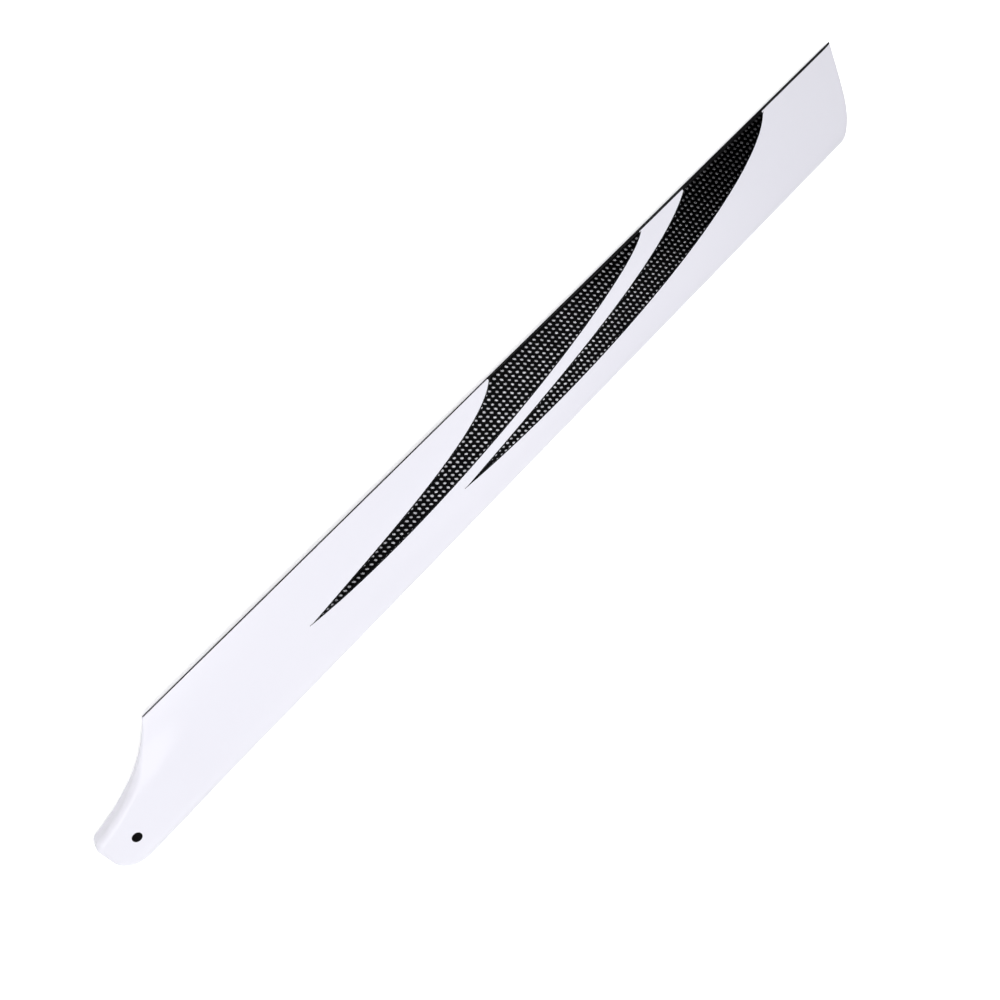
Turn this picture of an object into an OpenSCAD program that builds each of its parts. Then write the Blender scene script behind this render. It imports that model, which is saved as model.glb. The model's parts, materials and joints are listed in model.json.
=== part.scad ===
// Main rotor blade of a model helicopter, moulded in one piece and drilled at the root for one bolt.
// Millimetres. The origin is the bolt hole's centre at mid-thickness.
// +X runs to the tip, +Y to the trailing edge and +Z up.

/* [Blade] */
// Length from the bolt hole's centre to the tip
blade_l = 520; // [400:5:620]
// Chord, from the leading edge to the trailing edge
chord = 50; // [45:0.5:56]
// Greatest thickness of the airfoil, in percent of the chord
airfoil_pct = 12; // [10:0.5:14]
// Thickness of the trailing edge
te_t = 0.9; // [0.6:0.1:1.4]
// Width of the flat that the mould seam leaves along the leading edge
seam_t = 0.3; // [0.2:0.05:0.5]

/* [Root] */
// Thickness of the root block
root_t = 11; // [9:0.5:13]
// Distance from the bolt hole's centre to the leading edge
hole_to_le = 13.6; // [12.5:0.1:15]
// Distance from the bolt hole's centre to the end of the root
hole_to_end = 14.3; // [13.5:0.1:18]
// Distance from the bolt hole's centre to the hollow side of the root
hole_to_neck = 12.8; // [11.5:0.1:14]
// Distance from the bolt hole's centre to the corner where the neck meets the trailing edge
neck_l = 38; // [34:0.5:45]
// Radius of the neck's hollow curve
neck_r = 77; // [70:1:110]
// Radius of the root's corner on the leading side
corner_le_r = 12; // [10:0.5:13]
// Radius of the root's corner on the trailing side
corner_te_r = 4.25; // [3.75:0.25:5]
// Radius that rounds the upper and lower edges of the block
edge_r = 3; // [1.5:0.25:3.5]
// Length of the block's rounded nose, back from the leading edge
nose_l = 8; // [6:0.5:9]
// Length over which the block fades into the airfoil, past the flat pad
fade_l = 45; // [35:1:60]
// Width over which the block fades out behind the neck's hollow side
fade_w = 14; // [10:0.5:18]

/* [Bolt hole] */
// Diameter of the bolt hole
hole_d = 4.1; // [3.1:0.1:5.2]
// Radius of the flat pad that is left around the bolt hole for the grip
pad_r = 9; // [8:0.25:10]

/* [Tip] */
// How far the tip is slanted back at the leading edge
tip_slant = 8.75; // [0:0.25:12]
// Length along the span of the tip's round corner at the leading edge
tip_corner_l = 8.25; // [6:0.25:16]
// Width along the chord of the same corner
tip_corner_w = 23; // [10:0.5:28]

/* [Hidden] */

// Points across the chord on one surface, and stations along each stretch of the span
chord_steps = 27;
end_steps = 14;
neck_steps = 22;
fade_steps = 10;
slant_steps = 8;
tip_steps = 14;

airfoil_t = chord * airfoil_pct / 100;
root_h = root_t / 2;
le_y = -hole_to_le;
te_y = le_y + chord;

// Centre of the neck's arc, which passes through the root's hollow side and the trailing edge's corner
neck_start = [0, hole_to_neck];
neck_stop = [neck_l, te_y];
neck_chord = neck_stop - neck_start;
neck_half = norm(neck_chord) / 2;
neck_out = [-neck_chord.y, neck_chord.x] / norm(neck_chord);
neck_c = (neck_start + neck_stop) / 2 + neck_out * sqrt(neck_r ^ 2 - neck_half ^ 2);

// Centres of the root's two corners
corner_le_c = [corner_le_r - hole_to_end, le_y + corner_le_r];
corner_te_x = corner_te_r - hole_to_end;
corner_te_reach = neck_r + corner_te_r;
corner_te_c = [corner_te_x, neck_c.y - sqrt(corner_te_reach ^ 2 - (corner_te_x - neck_c.x) ^ 2)];
corner_te_end = corner_te_x + (neck_c.x - corner_te_x) * corner_te_r / corner_te_reach;

// Span stations where the form changes
fade_end = pad_r + fade_l;
tip_start = blade_l - tip_corner_l;
slant_start = tip_start - chord;
tip_c = [tip_start, le_y + tip_corner_w];

// A share of edge_r that a thin edge can take, as a part of its half-thickness
thin_edge = 0.7;

// Rises from 0 at low to 1 at high with no kink at either end
function ease(low, high, x) =
    let (t = max(0, min(1, (x - low) / (high - low))))
    t * t * (3 - 2 * t);

// Height of a quarter round of radius r, at depth d from its outer edge
function quarter(r, d) = d >= r ? r : sqrt(max(0, r * r - (r - d) ^ 2));

// Half-thickness of the symmetric airfoil at the share u of the chord, with a blunt trailing edge
function airfoil(u) =
    5 * airfoil_t * (0.2969 * sqrt(u) - 0.1260 * u - 0.3516 * u ^ 2 + 0.2843 * u ^ 3 - 0.1036 * u ^ 4)
    + u * te_t / 2;

// Leading and trailing outline at the span station s
function outline_le(s) =
    s < corner_le_c.x ? corner_le_c.y - sqrt(max(0, corner_le_r ^ 2 - (s - corner_le_c.x) ^ 2))
    : s > tip_start ? tip_c.y - tip_corner_w * sqrt(max(0, 1 - ((s - tip_start) / tip_corner_l) ^ 2))
    : le_y;

function outline_te(s) =
    s < corner_te_end ? corner_te_c.y + sqrt(max(0, corner_te_r ^ 2 - (s - corner_te_c.x) ^ 2))
    : s < neck_l ? neck_c.y - sqrt(neck_r ^ 2 - (s - neck_c.x) ^ 2)
    : te_y;

// Distance of a plan point from the nearest cut edge: all of the outline but the leading edge
function root_edge(s, y) =
    s < corner_le_c.x && y < corner_le_c.y ? corner_le_r - norm([s, y] - corner_le_c)
    : s < corner_te_end && y > corner_te_c.y ? corner_te_r - norm([s, y] - corner_te_c)
    : min(s + hole_to_end, norm([s, y] - neck_c) - neck_r);

function tip_edge(s, y) =
    s > tip_start && y < tip_c.y
    ? tip_corner_l * (1 - norm([(s - tip_c.x) / tip_corner_l, (y - tip_c.y) / tip_corner_w]))
    : blade_l - s;

function edge_depth(s, y) =
    max(0, min(s < neck_l ? root_edge(s, y) : te_y - y, tip_edge(s, y)));

// How much of the root block there is at a plan point: 1 on the pad, 0 on the plain airfoil
function block_share(s, y) =
    (1 - ease(pad_r, fade_end, s)) * (1 - ease(hole_to_neck, hole_to_neck + fade_w, y));

// Half-thickness of the blade at a plan point.
// Round the root's leading corner the nose turns into a cut edge.
function half_height(s, y) =
    let (
        u = max(0, min(1, (y - le_y) / chord)),
        depth = edge_depth(s, y),
        corner = s < corner_le_c.x && y < corner_le_c.y,
        turn = corner ? ease(0, 90, atan2(corner_le_c.x - s, corner_le_c.y - y)) : 0,
        nose = root_h * quarter(1, (corner ? depth : y - le_y) / nose_l),
        block = nose + (root_h - nose) * turn,
        body = airfoil(u) + (block - airfoil(u)) * block_share(s, y),
        round_r = min(edge_r, thin_edge * body),
        cut = (round_r - quarter(round_r, depth)) * (corner ? turn : 1)
    )
    max(seam_t / 2, body - cut);

// The slanted tip: stations lean back towards the leading edge
function lean(s, y) = tip_slant * (te_y - y) / chord * ease(slant_start, tip_start, s);

// One section as a closed loop: the upper surface to the trailing edge, the lower one back
function section(s) =
    let (
        low = outline_le(s),
        high = outline_te(s),
        ys = [for (i = [0:chord_steps]) low + (high - low) * (1 - cos(180 * i / chord_steps)) / 2],
        upper = [for (y = ys) [s - lean(s, y), y, half_height(s, y)]]
    )
    concat(upper, [for (i = [chord_steps:-1:0]) [upper[i].x, upper[i].y, -upper[i].z]]);

// Span stations, close together where the form turns fast
stations = concat(
    [for (i = [0:end_steps - 1]) -hole_to_end * cos(90 * i / end_steps)],
    [for (i = [0:neck_steps - 1]) neck_l * i / neck_steps],
    [for (i = [0:fade_steps]) neck_l + (fade_end - neck_l) * i / fade_steps],
    [for (i = [0:slant_steps - 1]) slant_start + (tip_start - slant_start) * i / slant_steps],
    [for (i = [0:tip_steps]) tip_start + tip_corner_l * sin(90 * i / tip_steps)]
);

// A closed skin through sections that all have the same number of points, with ends laid rung by rung
module loft(loops) {
    count = len(loops[0]);
    last = (len(loops) - 1) * count;
    sides = [
        for (a = [0:count:last - count], j = [0:count - 1])
            let (k = (j + 1) % count)
            each [[a + j, a + k, a + k + count], [a + j, a + k + count, a + j + count]]
    ];
    rungs = [for (j = [0:count / 2 - 2]) [j, j + 1, count - 2 - j, count - 1 - j]];
    root_end = [for (r = rungs) [r[3], r[2], r[1], r[0]]];
    tip_end = [for (r = rungs) [for (j = r) last + j]];
    polyhedron([for (l = loops) each l], concat(sides, root_end, tip_end));
}

module blade() {
    color("white") difference() {
        loft([for (s = stations) section(s)]);
        cylinder(h = 2 * root_t, d = hole_d, center = true, $fn = 64);
    }
}

blade();
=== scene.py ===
"""Main rotor blade of a model helicopter: gloss white, with two bare carbon sweeps on top.

The blade is one skin, laid out in plan as rows along the span and columns across the chord.
Its sizes are in millimetres from the bolt hole's centre: +X runs to the tip, +Y to the
trailing edge and +Z up. The studio round it is laid out in metres.
"""

import json
from math import pi, radians

import bmesh
import bpy
import numpy as np
from mathutils import Matrix, Vector


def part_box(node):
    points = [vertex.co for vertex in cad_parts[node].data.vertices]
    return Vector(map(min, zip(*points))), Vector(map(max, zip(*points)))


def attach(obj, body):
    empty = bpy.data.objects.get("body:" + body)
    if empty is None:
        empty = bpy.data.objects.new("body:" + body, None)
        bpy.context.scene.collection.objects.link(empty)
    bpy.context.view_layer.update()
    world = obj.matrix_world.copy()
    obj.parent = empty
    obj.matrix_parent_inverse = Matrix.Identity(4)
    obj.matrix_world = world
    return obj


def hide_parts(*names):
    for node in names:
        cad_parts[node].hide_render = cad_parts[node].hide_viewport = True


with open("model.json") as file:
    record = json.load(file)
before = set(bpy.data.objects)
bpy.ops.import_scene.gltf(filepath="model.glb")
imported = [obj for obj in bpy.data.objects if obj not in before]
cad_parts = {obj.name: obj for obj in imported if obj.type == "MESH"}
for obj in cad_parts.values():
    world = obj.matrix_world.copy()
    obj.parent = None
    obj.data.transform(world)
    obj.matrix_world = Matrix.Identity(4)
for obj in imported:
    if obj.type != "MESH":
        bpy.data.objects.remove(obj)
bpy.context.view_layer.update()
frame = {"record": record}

MM = 0.001

# The blade's box and its bolt hole, from the frame
low, high = (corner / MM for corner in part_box("blade"))
mounts = {mount["name"]: mount for mount in frame["record"]["mounts"]}
HOLE_R = mounts["blade_bolt"]["dims"]["r_mm"]
HOLE_TO_END = -low.x
BLADE_L = high.x
LE_Y = low.y
TE_Y = high.y
CHORD = TE_Y - LE_Y
ROOT_H = high.z

# Section: the airfoil's and the trailing edge's thickness, half the width of the leading edge's
# flat, and the share of a thin edge's half-thickness that its rounding takes
AIRFOIL_T = 0.12 * CHORD
TE_T = 0.9
SEAM_H = 0.15
THIN_EDGE = 0.7

# Root block, neck and tip
PAD_R = 9
FADE_L = 45
FADE_W = 14
EDGE_R = 3
NOSE_L = 8
HOLE_TO_NECK = 12.8
NECK_L = 38
NECK_R = 77
CORNER_LE_R = 12
CORNER_TE_R = 4.25
TIP_SLANT = 8.75
TIP_CORNER = np.array([8.25, 23])

# Bolt hole: its broken rim, the ring of skin laid anew round it, and the segments of its wall
HOLE_RIM = 0.2
HOLE_RING = 1.6
HOLE_SEGMENTS = 64

# Carbon sweeps, the outer one first: (fore edge, aft edge), each a cubic curve.
# Its points are (distance from the bolt hole, share of the chord).
SWEEPS = (
    (
        ((208.5, 0.354), (308.5, 0.158), (448, 0.455), (462, 1)),
        ((208.5, 0.354), (279, 0.463), (371, 0.599), (398, 1)),
    ),
    (
        ((113, 0.493), (199, 0.278), (357, 0.711), (363.5, 1)),
        ((113, 0.493), (173, 0.592), (238, 0.676), (252, 1)),
    ),
)
CURVE_STEPS = 200

# Plain border inside a sweep's edges, and the most of the sweep's width that one border takes
BORDER_W = 0.7
BORDER_MOST = 1 / 3

# Trimmed line of bare laminate along the trailing edge: its width inboard and outboard, and
# where it widens. Its widening towards the tip is painted shade along that edge.
TRIM_AND_SHADE_W = (0.4, 1.15)
TRIM_SHADE_WIDENS = (240, 380)

# Rows along the span
ROOT_ROWS, NECK_ROWS, SPAN_ROWS, TIP_ROWS = 40, 64, 450, 28

# Columns across the chord, in strips between the sweeps' edges. They are laid without regard
# to the strips as far as EVEN_TO, and follow them from STRIPS_FROM on.
PAINT, CARBON, BORDER, TRIM, BORE = range(5)
STRIP_KINDS = (PAINT, BORDER, CARBON, BORDER, PAINT, BORDER, CARBON, BORDER, PAINT, TRIM)
STRIP_COLUMNS = (24, 2, 10, 2, 8, 2, 10, 2, 14, 4)
LEAST_STRIP = 0.1
EVEN_TO, STRIPS_FROM = 40, 105

# Edges that turn by more than this are drawn sharp
SHARP_TURN = radians(35)

# Derived points of the plan outline
tip_start = BLADE_L - TIP_CORNER[0]
tip_c = np.array([tip_start, LE_Y + TIP_CORNER[1]])
neck_from, neck_to = np.array([0, HOLE_TO_NECK]), np.array([NECK_L, TE_Y])
neck_chord = neck_to - neck_from
neck_half = np.hypot(*neck_chord) / 2
neck_out = np.array([-neck_chord[1], neck_chord[0]]) / (2 * neck_half)
neck_c = (neck_from + neck_to) / 2 + neck_out * np.sqrt(NECK_R**2 - neck_half**2)
corner_le = np.array([CORNER_LE_R - HOLE_TO_END, LE_Y + CORNER_LE_R])
corner_x = CORNER_TE_R - HOLE_TO_END
corner_reach = NECK_R + CORNER_TE_R
corner_y = neck_c[1] - np.sqrt(corner_reach**2 - (corner_x - neck_c[0]) ** 2)
corner_te = np.array([corner_x, corner_y])
corner_te_end = corner_x + (neck_c[0] - corner_x) * CORNER_TE_R / corner_reach


def ease(start, stop, x):
    """0 before start, 1 after stop, and a smooth rise between them."""
    t = np.clip((x - start) / (stop - start), 0, 1)
    return t * t * (3 - 2 * t)


def arc(r, d):
    """Height of a quarter circle of radius r at the distance d from its foot."""
    return np.sqrt(np.maximum(0, r * r - np.maximum(0, r - d) ** 2))


def airfoil(u):
    """Half the section's thickness at the share u of the chord: the usual four-digit formula."""
    curve = 0.2969 * np.sqrt(u) - 0.1260 * u - 0.3516 * u**2 + 0.2843 * u**3 - 0.1036 * u**4
    return 5 * AIRFOIL_T * curve + u * TE_T / 2


def outline_le(s):
    """The outline's leading side at the station s."""
    root = corner_le[1] - np.sqrt(np.maximum(0, CORNER_LE_R**2 - (s - corner_le[0]) ** 2))
    along, across = TIP_CORNER
    tip = tip_c[1] - across * np.sqrt(np.maximum(0, 1 - ((s - tip_start) / along) ** 2))
    return np.where(s < corner_le[0], root, np.where(s > tip_start, tip, LE_Y))


def outline_te(s):
    """The outline's trailing side at the station s."""
    root = corner_te[1] + np.sqrt(np.maximum(0, CORNER_TE_R**2 - (s - corner_te[0]) ** 2))
    neck = neck_c[1] - np.sqrt(NECK_R**2 - (np.minimum(s, NECK_L) - neck_c[0]) ** 2)
    return np.where(s < corner_te_end, root, np.where(s < NECK_L, neck, TE_Y))


def reach(s, y, centre):
    """Distance in plan from a point."""
    return np.hypot(s - centre[0], y - centre[1])


def in_corner_le(s, y):
    """Whether a plan point lies in the root's corner on the leading side."""
    return (s < corner_le[0]) & (y < corner_le[1])


def edge_depth(s, y):
    """Distance in plan to the nearest cut edge: the root's, neck's, trailing or tip's."""
    in_corner_te = (s < corner_te_end) & (y > corner_te[1])
    root = np.minimum(s + HOLE_TO_END, reach(s, y, neck_c) - NECK_R)
    root = np.where(in_corner_te, CORNER_TE_R - reach(s, y, corner_te), root)
    root = np.where(in_corner_le(s, y), CORNER_LE_R - reach(s, y, corner_le), root)
    along, across = TIP_CORNER
    rounded = along * (1 - np.hypot((s - tip_c[0]) / along, (y - tip_c[1]) / across))
    tip = np.where((s > tip_start) & (y < tip_c[1]), rounded, BLADE_L - s)
    return np.maximum(0, np.minimum(np.where(s < NECK_L, root, TE_Y - y), tip))


def half_height(s, y):
    """Height of the skin above the middle plane: the root block, fading into the airfoil.

    Round the root's leading corner the nose turns into a cut edge.
    """
    section = airfoil(np.clip((y - LE_Y) / CHORD, 0, 1))
    depth = edge_depth(s, y)
    corner = in_corner_le(s, y)
    angle = np.arctan2(corner_le[0] - s, corner_le[1] - y)
    turn = np.where(corner, ease(0, pi / 2, angle), 0)
    nose = ROOT_H * arc(1, np.where(corner, depth, y - LE_Y) / NOSE_L)
    block = nose + (ROOT_H - nose) * turn
    along_span = 1 - ease(PAD_R, PAD_R + FADE_L, s)
    behind_neck = 1 - ease(HOLE_TO_NECK, HOLE_TO_NECK + FADE_W, y)
    body = section + (block - section) * along_span * behind_neck
    edge_r = np.minimum(EDGE_R, THIN_EDGE * body)
    cut = (edge_r - arc(edge_r, depth)) * np.where(corner, turn, 1)
    return np.maximum(SEAM_H, body - cut)


def curve_at(points, s):
    """A cubic curve's share of the chord at the stations s, held past its ends."""
    t = np.linspace(0, 1, CURVE_STEPS)[:, None]
    a, b, c, d = np.array(points, float)
    curve = (1 - t) ** 3 * a + 3 * (1 - t) ** 2 * t * b + 3 * (1 - t) * t**2 * c + t**3 * d
    return np.interp(s, curve[:, 0], curve[:, 1])


def strip_borders(s):
    """Shares of the chord between the strips: the sweeps' edges, kept a little apart."""
    least = LEAST_STRIP / CHORD
    inner = []
    for edges in SWEEPS:
        fore, aft = (curve_at(edge, s) for edge in edges)
        width = np.minimum(BORDER_W / CHORD, (aft - fore) * BORDER_MOST)
        inner += [fore, fore + width, aft - width, aft]
    # The trimmed line widens towards the tip: painted shade along the trailing edge
    trim = TRIM_AND_SHADE_W[0] + (TRIM_AND_SHADE_W[1] - TRIM_AND_SHADE_W[0]) * ease(*TRIM_SHADE_WIDENS, s)
    borders = [np.zeros_like(s), *inner, 1 - trim / CHORD, np.ones_like(s)]
    for k in range(1, len(inner) + 1):
        borders[k] = np.maximum(borders[k], borders[k - 1] + least)
    for k in range(len(inner), 0, -1):
        borders[k] = np.minimum(borders[k], borders[k + 1] - least)
    return np.array(borders).T


def skin_grid():
    """(stations, borders, points of the upper skin as rows by columns by XYZ)."""
    s = np.concatenate([
        -HOLE_TO_END * np.cos(np.linspace(0, pi / 2, ROOT_ROWS, endpoint=False)),
        np.linspace(0, NECK_L, NECK_ROWS, endpoint=False),
        np.linspace(NECK_L, tip_start, SPAN_ROWS, endpoint=False),
        tip_start + TIP_CORNER[0] * np.sin(np.linspace(0, pi / 2, TIP_ROWS)),
    ])
    borders = strip_borders(s)
    shares = [np.zeros((len(s), 1))]
    for k, columns in enumerate(STRIP_COLUMNS):
        step = np.arange(1, columns + 1) / columns
        # The first strip's columns crowd towards the round leading edge
        step = step**2 if k == 0 else step
        shares.append(borders[:, k, None] + (borders[:, k + 1] - borders[:, k])[:, None] * step)
    strips = np.concatenate(shares, axis=1)
    even = (1 - np.cos(pi * np.arange(strips.shape[1]) / sum(STRIP_COLUMNS))) / 2
    station = s[:, None]
    share = even + (strips - even) * ease(EVEN_TO, STRIPS_FROM, station)
    y = outline_le(station) + (outline_te(station) - outline_le(station)) * share
    station = np.broadcast_to(station, y.shape)
    slant = TIP_SLANT * (TE_Y - y) / CHORD * ease(tip_start - CHORD, tip_start, station)
    return s, borders, np.stack([station - slant, y, half_height(station, y)], axis=2)


def skin_materials(s, borders):
    """Material of each row and column of the upper skin.

    A sweep's strips start at its point and the trimmed line at the neck's end. Strips that are
    squeezed against the trailing edge are plain border beside a sweep, and paint elsewhere.
    """
    middle = (s[:-1] + s[1:]) / 2
    outer, inner = (fore[0][0] for fore, _ in SWEEPS)
    starts = (0, outer, outer, outer, 0, inner, inner, inner, 0, NECK_L)
    limit = borders[:-1, -2] - len(STRIP_KINDS) * LEAST_STRIP / CHORD
    past_te = borders[:-1] > limit[:, None]
    on_edge = np.zeros(len(middle), bool)
    for fore, aft in SWEEPS:
        on_edge |= (curve_at(aft, middle) > limit) & (curve_at(fore, middle) < limit)
    rows = []
    for k, columns in enumerate(STRIP_COLUMNS):
        kind = np.where(middle > starts[k], STRIP_KINDS[k], PAINT)
        squeezed = past_te[:, k] if STRIP_KINDS[k] != TRIM else on_edge
        kind = np.where(squeezed, np.where(on_edge, BORDER, PAINT), kind)
        rows.append(np.repeat(kind[:, None], columns, axis=1))
    return np.concatenate(rows, axis=1)


def drill(bm):
    """Opens the bolt hole through the root block, with broken rims and a bore wall."""
    clear = (HOLE_R + HOLE_RING) * MM
    near = [f for f in bm.faces if f.calc_center_median().xy.length < clear]
    bmesh.ops.delete(bm, geom=near, context="FACES")
    heights = (ROOT_H, ROOT_H - HOLE_RIM, HOLE_RIM - ROOT_H, -ROOT_H)
    radii = (HOLE_R + HOLE_RIM, HOLE_R, HOLE_R, HOLE_R + HOLE_RIM)
    turns = [2 * pi * i / HOLE_SEGMENTS for i in range(HOLE_SEGMENTS)]
    rings = [
        [bm.verts.new((r * np.cos(a) * MM, r * np.sin(a) * MM, z * MM)) for a in turns]
        for r, z in zip(radii, heights)
    ]
    for upper, lower in zip(rings, rings[1:]):
        for i in range(HOLE_SEGMENTS):
            n = (i + 1) % HOLE_SEGMENTS
            wall = bm.faces.new((upper[i], upper[n], lower[n], lower[i]))
            wall.material_index = BORE
    for side in (1, -1):
        rim = [e for e in bm.edges if e.is_boundary and e.verts[0].co.z * side > 0]
        filled = bmesh.ops.triangle_fill(bm, use_beauty=True, edges=rim, normal=(0, 0, side))
        for f in (g for g in filled["geom"] if isinstance(g, bmesh.types.BMFace)):
            f.material_index = PAINT
            f.smooth = True


def make_blade(materials):
    """The blade's skin: upper and lower faces, the seam round the outline and the bolt hole."""
    s, borders, upper = skin_grid()
    rows, columns = upper.shape[:2]
    points = np.concatenate([upper.reshape(-1, 3), (upper * [1, 1, -1]).reshape(-1, 3)])
    top = np.arange(rows * columns).reshape(rows, columns)
    under = top + rows * columns
    kinds = skin_materials(s, borders)
    trimmed = kinds[:, -1]
    # The underside is plain paint as far as the trimmed line
    painted = np.arange(columns - 1) < columns - 1 - STRIP_COLUMNS[-1]
    plain = np.where(painted, PAINT, trimmed[:, None])
    plain = np.where(plain == BORDER, TRIM, plain)

    def quads(a, b, c, d):
        return np.stack([a, b, c, d], axis=-1).reshape(-1, 4)

    # Upper skin, underside, leading edge's flat, trailing edge, root's end and tip's end
    faces = [
        quads(top[:-1, :-1], top[1:, :-1], top[1:, 1:], top[:-1, 1:]),
        quads(under[:-1, :-1], under[:-1, 1:], under[1:, 1:], under[1:, :-1]),
        quads(top[:-1, 0], under[:-1, 0], under[1:, 0], top[1:, 0]),
        quads(top[:-1, -1], top[1:, -1], under[1:, -1], under[:-1, -1]),
        quads(top[0, :-1], top[0, 1:], under[0, 1:], under[0, :-1]),
        quads(under[-1, :-1], under[-1, 1:], top[-1, 1:], top[-1, :-1]),
    ]
    slots = [
        kinds.ravel(),
        plain.ravel(),
        np.full(rows - 1, PAINT),
        trimmed,
        np.full(columns - 1, PAINT),
        np.full(columns - 1, PAINT),
    ]
    mesh = bpy.data.meshes.new("rotor_blade")
    mesh.from_pydata((points * MM).tolist(), [], np.concatenate(faces).tolist())
    mesh.polygons.foreach_set("material_index", np.concatenate(slots).astype(np.int32))
    mesh.polygons.foreach_set("use_smooth", np.ones(len(mesh.polygons), bool))
    for material in materials:
        mesh.materials.append(material)
    bm = bmesh.new()
    bm.from_mesh(mesh)
    drill(bm)
    bm.to_mesh(mesh)
    bm.free()
    mesh.set_sharp_from_angle(angle=SHARP_TURN)
    blade = bpy.data.objects.new("rotor_blade", mesh)
    bpy.context.collection.objects.link(blade)
    return blade


# The range of a share, which a shader's values are spread over
WHOLE = (0.0, 1.0)


class Shader:
    """A material's nodes. Each call that adds one gives its first output, or the one named."""

    def __init__(self, name, **values):
        self.material = bpy.data.materials.new(name)
        self.material.use_nodes = True
        self.nodes = self.material.node_tree.nodes
        self.links = self.material.node_tree.links
        self.surface = self.nodes["Principled BSDF"]
        self.fill(self.surface, values)

    def feed(self, socket, value):
        """Links the value to the socket if it is a node's output, and else sets it."""
        if isinstance(value, bpy.types.NodeSocket):
            self.links.new(value, socket)
        else:
            socket.default_value = value

    def fill(self, node, values):
        """Feeds a node's inputs, which go by name or by number."""
        for name, value in values.items():
            key = name if isinstance(name, int) else name.replace("_", " ")
            self.feed(node.inputs[key], value)

    def add(self, kind, inputs, output=0, **settings):
        node = self.nodes.new("ShaderNode" + kind)
        for name, value in settings.items():
            setattr(node, name, value)
        self.fill(node, inputs)
        return node.outputs[output]

    def math(self, operation, *values):
        return self.add("Math", dict(enumerate(values)), operation=operation)

    def vector_math(self, operation, *values, output=0):
        return self.add("VectorMath", dict(enumerate(values)), output, operation=operation)

    def place(self, scale, turn=0.0, shift=(0, 0, 0)):
        """The object's own coordinates, scaled, turned in plan and shifted."""
        where = self.add("TexCoord", {}, "Object")
        sockets = {"Vector": where, "Location": shift, "Rotation": (0, 0, turn), "Scale": scale}
        return self.add("Mapping", sockets)

    def noise(self, per_mm, detail, turn=0.0, output=0):
        """Noise with so many grains per millimetre along each axis, turned in plan."""
        where = self.place([grains / MM for grains in per_mm], turn)
        return self.add("TexNoise", {"Vector": where, "Scale": 1.0, "Detail": detail}, output)

    def spread(self, value, span, into=WHOLE):
        """The value's range span, spread over the range into and held past its ends."""
        source = {"Value": value, "From Min": span[0], "From Max": span[1]}
        return self.add("MapRange", {**source, "To Min": into[0], "To Max": into[1]})

    def blend(self, share, a, b):
        """The colour a where the share is 0, and b where it is 1."""
        node = self.nodes.new("ShaderNodeMix")
        node.data_type = "RGBA"
        for name, value in {"Factor": share, "A": a, "B": b}.items():
            self.feed(next(i for i in node.inputs if i.name == name and i.enabled), value)
        return next(o for o in node.outputs if o.enabled)

    def bump(self, height, depth_mm, strength):
        sockets = {"Height": height, "Distance": depth_mm * MM, "Strength": strength}
        return self.add("Bump", sockets)


def paint_material():
    """Gloss white: a faint drift in tone, fine orange peel and a polished clear coat."""
    tone_mm, rough_mm, peel_mm = 70, 25, 1.6
    darker, paler = (0.848, 0.842, 0.918, 1), (0.864, 0.857, 0.928, 1)
    noise_span, rough_range = (0.1, 0.9), (0.18, 0.24)
    peel_depth_mm, peel_strength = 0.012, 0.5
    m = Shader("gloss_white_paint", Coat_Weight=0.06, Coat_Roughness=0.1, Specular_IOR_Level=0.2)
    tone = m.spread(m.noise([1 / tone_mm] * 3, detail=0.0), noise_span)
    rough = m.spread(m.noise([1 / rough_mm] * 3, detail=0.0), noise_span, rough_range)
    peel = m.bump(m.noise([1 / peel_mm] * 3, detail=1.0), peel_depth_mm, peel_strength)
    colour = m.blend(tone, darker, paler)
    m.fill(m.surface, {"Base Color": colour, "Roughness": rough, "Normal": peel})
    return m.material


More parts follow.
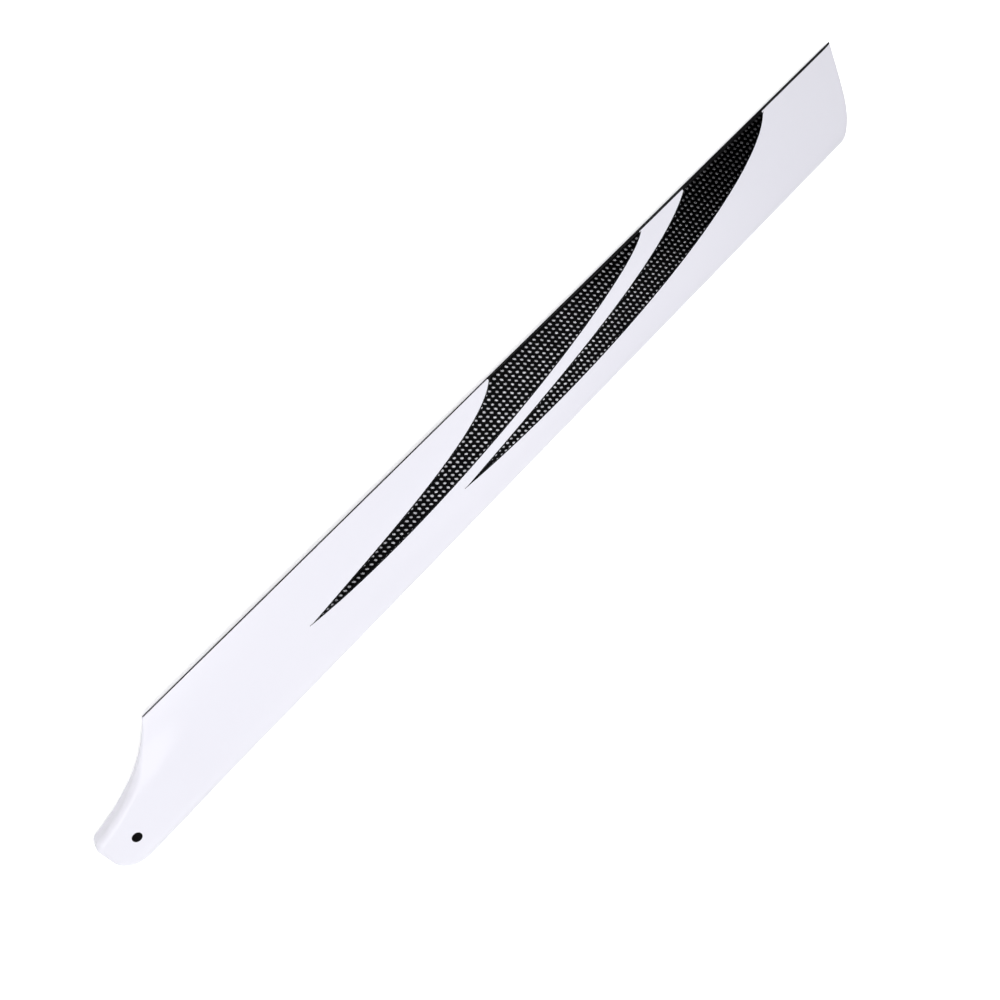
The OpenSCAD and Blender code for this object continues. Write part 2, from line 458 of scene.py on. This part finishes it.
def carbon_material():
    """Plain weave at 45 degrees to the span.

    The tows that run one way have silver crowns painted on as a highlight, which the lamps
    brighten further, and those that run the other are painted near black as shade.
    """
    tow_mm, turn = 2.0, radians(45)
    lattice_shift = (-1.15, 0.02, 0)
    wander_per_mm, wander_tows = 0.3, 0.45
    crown_w, crown_l, crown_top = 0.32, 0.58, 0.8
    crown_depth_mm, crown_strength = 0.06, 0.6
    chance_range, unlit_share = (0.65, 1.0), 0.005
    strands_per_mm, strand_span = (1.4, 12, 12), (0.2, 0.8)
    strand_tone, strand_rough = (0.75, 1.1), (0.22, 0.28)
    # Near black carbon, and silver painted on the crowns as a highlight
    black, sheen_silver = (0.0012, 0.0014, 0.0016, 1), (0.72, 0.72, 0.76, 1)
    m = Shader("carbon_weave", Metallic=1.0, Coat_Weight=0.03, Coat_Roughness=0.1)

    # A lattice of square cells, one tow wide, that wanders a little
    wander = m.noise([wander_per_mm] * 3, detail=1.0, output="Color")
    wander = m.vector_math("SUBTRACT", wander, (0.5, 0.5, 0.5))
    cells = m.place([1 / (tow_mm * MM)] * 3, turn, lattice_shift)
    cells = m.vector_math("MULTIPLY_ADD", wander, [wander_tows] * 3, cells)
    a = m.add("SeparateXYZ", {"Vector": cells}, "X")
    b = m.add("SeparateXYZ", {"Vector": cells}, "Y")
    whole_a, whole_b = m.math("FLOOR", a), m.math("FLOOR", b)
    # Which family of tows is on top in each cell; the one family is painted lit and the other
    # shaded
    lit = m.math("FLOORED_MODULO", m.math("ADD", whole_a, whole_b), 2.0)

    # Distances from the cell's middle, across and along the tow that is on top there
    off_a = m.math("ABSOLUTE", m.math("SUBTRACT", m.math("SUBTRACT", a, whole_a), 0.5))
    off_b = m.math("ABSOLUTE", m.math("SUBTRACT", m.math("SUBTRACT", b, whole_b), 0.5))
    across = m.math("MULTIPLY_ADD", m.math("SUBTRACT", off_b, off_a), lit, off_a)
    along = m.math("SUBTRACT", m.math("ADD", off_a, off_b), across)

    def square(value, width):
        return m.math("POWER", m.math("DIVIDE", value, width), 2.0)

    # An oval crown in each cell, raised in the bump and painted silver as a highlight, of a
    # brightness that differs from cell to cell
    oval = m.math("SUBTRACT", 1.0, square(across, crown_w))
    oval = m.math("SUBTRACT", oval, square(along, crown_l))
    crown_and_highlight = m.spread(oval, (0.0, crown_top))
    cell = m.add("CombineXYZ", {"X": whole_a, "Y": whole_b, "Z": 0.0})
    chance = m.spread(m.add("TexWhiteNoise", {"Vector": cell}), WHOLE, chance_range)
    share = m.math("MULTIPLY", crown_and_highlight, chance)
    # The other family's crowns are painted near black: painted shade
    share = m.math("MULTIPLY", share, m.spread(lit, WHOLE, (unlit_share, 1.0)))
    strands = m.noise(strands_per_mm, detail=2.0, turn=turn)
    share = m.math("MULTIPLY", share, m.spread(strands, strand_span, strand_tone))
    m.fill(m.surface, {
        "Base Color": m.blend(share, black, sheen_silver),
        "Roughness": m.spread(strands, strand_span, strand_rough),
        "Normal": m.bump(crown_and_highlight, crown_depth_mm, crown_strength),
    })
    return m.material


def laminate_material(name, dark, pale, rough):
    """Bare laminate: dark plies with paler streaks along them."""
    streaks_per_mm = (0.2, 1.5, 6)
    tone_span, rough_span = (0.35, 0.75), (0.3, 0.7)
    grain_depth_mm, grain_strength = 0.02, 0.4
    m = Shader(name, Specular_IOR_Level=0.2)
    streaks = m.noise(streaks_per_mm, detail=3.0)
    m.fill(m.surface, {
        "Base Color": m.blend(m.spread(streaks, tone_span), (*dark, 1), (*pale, 1)),
        "Roughness": m.spread(streaks, rough_span, rough),
        "Normal": m.bump(streaks, grain_depth_mm, grain_strength),
    })
    return m.material


def make_floor():
    """A pale floor that touches the root block and the belly at the tip.

    It shows white and keeps the shadow. Its own glow is weaker near the blade, where the lamps
    light it.
    """
    half_size = 4.0
    chord_shares = np.linspace(0, 1, 101)
    oval, oval_shift = (0.5, 1, 1), (-0.08, 0, 0)
    glow_span, glow_range = (0.05, 0.45), (0.4, 1.0)
    grey = (0.8, 0.8, 0.8, 1)
    slope = (ROOT_H - airfoil(chord_shares).max()) / (tip_start - PAD_R)
    plan = half_size * np.array([(-1, -1), (1, -1), (1, 1), (-1, 1)])
    corners = [(x, y, slope * (x - PAD_R * MM) - ROOT_H * MM) for x, y in plan.tolist()]
    mesh = bpy.data.meshes.new("floor")
    mesh.from_pydata(corners, [], [(0, 1, 2, 3)])
    m = Shader("pale_floor")
    m.nodes.remove(m.surface)
    rays = m.nodes.new("ShaderNodeLightPath").outputs
    seen = m.math("MAXIMUM", rays["Is Camera Ray"], rays["Is Glossy Ray"])
    seen = m.math("MAXIMUM", seen, rays["Is Transmission Ray"])
    away = m.vector_math("LENGTH", m.place(oval, shift=oval_shift), output="Value")
    glow = m.spread(away, glow_span, glow_range)
    white = m.add("Emission", {"Strength": m.math("MULTIPLY", seen, glow)})
    matt = m.add("BsdfDiffuse", {"Color": grey})
    both = m.add("AddShader", {0: white, 1: matt})
    m.links.new(both, m.nodes["Material Output"].inputs["Surface"])
    mesh.materials.append(m.material)
    floor = bpy.data.objects.new("floor", mesh)
    bpy.context.collection.objects.link(floor)
    return floor


def make_dome(horizon, zenith, zenith_from):
    """Soft white light from all round: its strength at the horizon, and from a height upwards."""
    world = bpy.data.worlds.new("studio")
    world.use_nodes = True
    nodes, links = world.node_tree.nodes, world.node_tree.links
    where = nodes.new("ShaderNodeTexCoord")
    height = nodes.new("ShaderNodeSeparateXYZ")
    ramp = nodes.new("ShaderNodeMapRange")
    ramp.inputs["From Max"].default_value = zenith_from
    ramp.inputs["To Min"].default_value = horizon
    ramp.inputs["To Max"].default_value = zenith
    links.new(where.outputs["Generated"], height.inputs["Vector"])
    links.new(height.outputs["Z"], ramp.inputs["Value"])
    links.new(ramp.outputs["Result"], nodes["Background"].inputs["Strength"])
    nodes["Background"].inputs["Color"].default_value = (1, 1, 1, 1)
    bpy.context.scene.world = world


def make_softbox(name, position, target, size, power):
    """An oblong soft light that faces the target."""
    lamp = bpy.data.lights.new(name, "AREA")
    lamp.shape = "RECTANGLE"
    lamp.size, lamp.size_y = size
    lamp.energy = power
    box = bpy.data.objects.new(name, lamp)
    box.location = position
    box.rotation_euler = (Vector(target) - Vector(position)).to_track_quat("-Z", "Y").to_euler()
    bpy.context.collection.objects.link(box)


def make_camera(position, axis, up, lens, sensor):
    """A camera that looks along axis, with a lens and a sensor in millimetres."""
    ahead = Vector(axis).normalized()
    right = ahead.cross(Vector(up)).normalized()
    turn = Matrix((right, right.cross(ahead), -ahead)).transposed()
    data = bpy.data.cameras.new("camera")
    data.sensor_width = sensor
    data.lens = lens
    data.clip_start = 0.01
    camera = bpy.data.objects.new("camera", data)
    camera.matrix_world = Matrix.Translation(position) @ turn.to_4x4()
    bpy.context.collection.objects.link(camera)
    bpy.context.scene.camera = camera


# Materials in the order of PAINT, CARBON, BORDER, TRIM and BORE
blade = make_blade([
    paint_material(),
    carbon_material(),
    laminate_material(
        "sweep_border", dark=(0.003, 0.003, 0.004), pale=(0.008, 0.008, 0.009), rough=(0.25, 0.4)
    ),
    # Bare laminate at the trailing edge, which widens outboard into painted shade
    laminate_material(
        "trimmed_edge_and_shade", dark=(0.006, 0.006, 0.007), pale=(0.03, 0.03, 0.033), rough=(0.35, 0.55)
    ),
    laminate_material(
        "bore_wall", dark=(0.006, 0.006, 0.006), pale=(0.03, 0.03, 0.03), rough=(0.6, 0.8)
    ),
])
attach(blade, "root")
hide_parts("blade")

make_floor()
make_dome(horizon=1.0, zenith=0.02, zenith_from=0.35)

# The key and the fill face the inner half of the blade, and the sheen faces the weave
inner_half, weave = (0.10, 0.0, 0.0), (0.24, 0.0, 0.0)
make_softbox("key", position=(-0.04, 0.33, 1.14), target=inner_half, size=(1.12, 1.12), power=15.5)
make_softbox("fill", position=(-0.10, -0.92, 0.50), target=inner_half, size=(1.6, 0.6), power=3.7)
make_softbox("sheen", position=(0.56, -0.40, 0.90), target=weave, size=(0.6, 0.45), power=1.05)
make_camera(
    position=(0.1026, 0.2392, 0.4020),
    axis=(0.2390, -0.5209, -0.8195),
    up=(0.6968, 0.6798, -0.2288),
    lens=36,
    sensor=36,
)
bpy.context.scene.view_settings.view_transform = "Standard"
